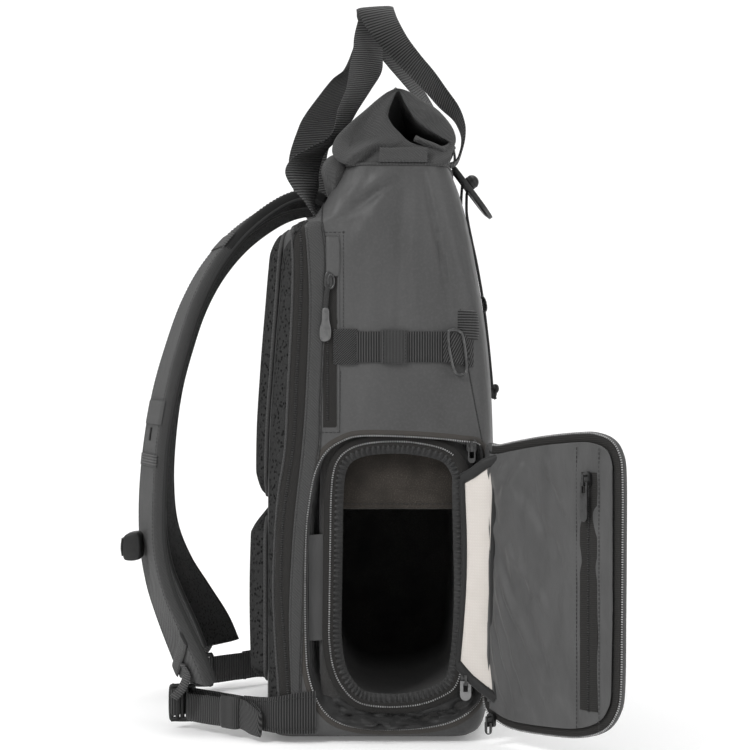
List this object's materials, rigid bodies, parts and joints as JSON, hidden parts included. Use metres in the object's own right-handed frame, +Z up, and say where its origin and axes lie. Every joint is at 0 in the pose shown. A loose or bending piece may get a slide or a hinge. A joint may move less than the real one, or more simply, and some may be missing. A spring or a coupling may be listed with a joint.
{
  "type": "camera backpack",
  "caption": "Roll-top backpack with a padded camera compartment behind an open side door, two webbing handles and padded shoulder straps.",
  "frame": {"origin": "middle of the flat base, on the floor", "axes": "+Z up, +X towards the outer front of the bag, -X towards the wearer's back, -Y towards the side with the open door"},
  "size_m": [0.4052, 0.4217, 0.6238],
  "materials": {
    "coated_fabric": "smooth coated tarpaulin cloth, satin",
    "twill": "heavy twill cloth, matt",
    "webbing": "ribbed woven webbing, matt",
    "spacer_mesh": "open spacer mesh over foam, matt",
    "nylon": "thin woven nylon with a sheen",
    "lining": "brushed dark lining",
    "pale_lining": "soft near-white brushed lining",
    "padding": "brushed grey-brown padding",
    "zip_tape": "woven zip tape with fine teeth",
    "hard_plastic": "moulded, satin",
    "dark_metal": "dark plated metal, satin",
    "pale_rubber": "moulded soft pull, matt",
    "cord": "thin braided cord"
  },
  "bodies": {
    "pack": {"anchor_wing_far": "twill", "anchor_wing_near": "twill", "back_pad": "spacer_mesh", "camera_cube": "lining", "chest_slider_far": "hard_plastic", "chest_slider_near": "hard_plastic", "closure_ball": "hard_plastic", "closure_cord": "cord", "closure_strap": "webbing", "collar": "twill", "compression_ring_far": "dark_metal", "compression_ring_near": "dark_metal", "compression_strap_far": "webbing", "compression_strap_near": "webbing", "cord_knot": "cord", "cube_divider": "padding", "cube_door": "pale_lining", "cube_slider": "dark_metal", "door_low_slider": "dark_metal", "door_panel": "coated_fabric", "door_sleeve": "nylon", "door_top_slider": "dark_metal", "door_zip": "zip_tape", "front_handle": "webbing", "front_loop": "webbing", "hook_plate": "dark_metal", "ladder_lock_far": "hard_plastic", "ladder_lock_near": "hard_plastic", "laptop_wall": "lining", "lower_webbing_far": "webbing", "lower_webbing_near": "webbing", "lumbar_pad": "spacer_mesh", "main_shell": "coated_fabric", "opening_skirt_back": "nylon", "opening_skirt_front": "nylon", "opening_skirt_high": "nylon", "opening_skirt_low": "nylon", "pocket_slider": "dark_metal", "pocket_zip": "zip_tape", "rear_handle": "webbing", "roll": "twill", "shoulder_strap_far": "twill", "shoulder_strap_near": "twill", "side_zip": "zip_tape", "side_zip_puller": "hard_plastic", "strap_keeper_far": "webbing", "strap_keeper_near": "webbing", "strap_patch_far": "webbing", "strap_patch_near": "webbing", "webbing_tail_far": "webbing", "webbing_tail_near": "webbing"},
    "pocket_pull": {"pocket_pull": "dark_metal"},
    "door_low_pull": {"door_low_pull": "dark_metal"},
    "cube_pull": {"cube_pull": "pale_rubber"},
    "door_top_pull": {"door_top_pull": "dark_metal"}
  },
  "joints": [
    {"name": "pocket_pull_swing", "type": "hinge", "parent": "pack", "child": "pocket_pull", "pos_m": [0.15677, -0.24606, 0.214], "axis": [-0.6691, 0.7431, 0], "range_deg": [0, 150]},
    {"name": "door_low_pull_swing", "type": "hinge", "parent": "pack", "child": "door_low_pull", "pos_m": [0.08798, -0.16563, 0.014], "axis": [-0.6691, 0.7431, 0], "range_deg": [0, 150]},
    {"name": "cube_pull_swing", "type": "hinge", "parent": "pack", "child": "cube_pull", "pos_m": [0.07, -0.156, 0.046], "axis": [-1, 0, 0], "range_deg": [0, 150]},
    {"name": "door_top_pull_swing", "type": "hinge", "parent": "pack", "child": "door_top_pull", "pos_m": [0.075, -0.156, 0.237], "axis": [-1, 0, 0], "range_deg": [0, 150]}
  ]
}
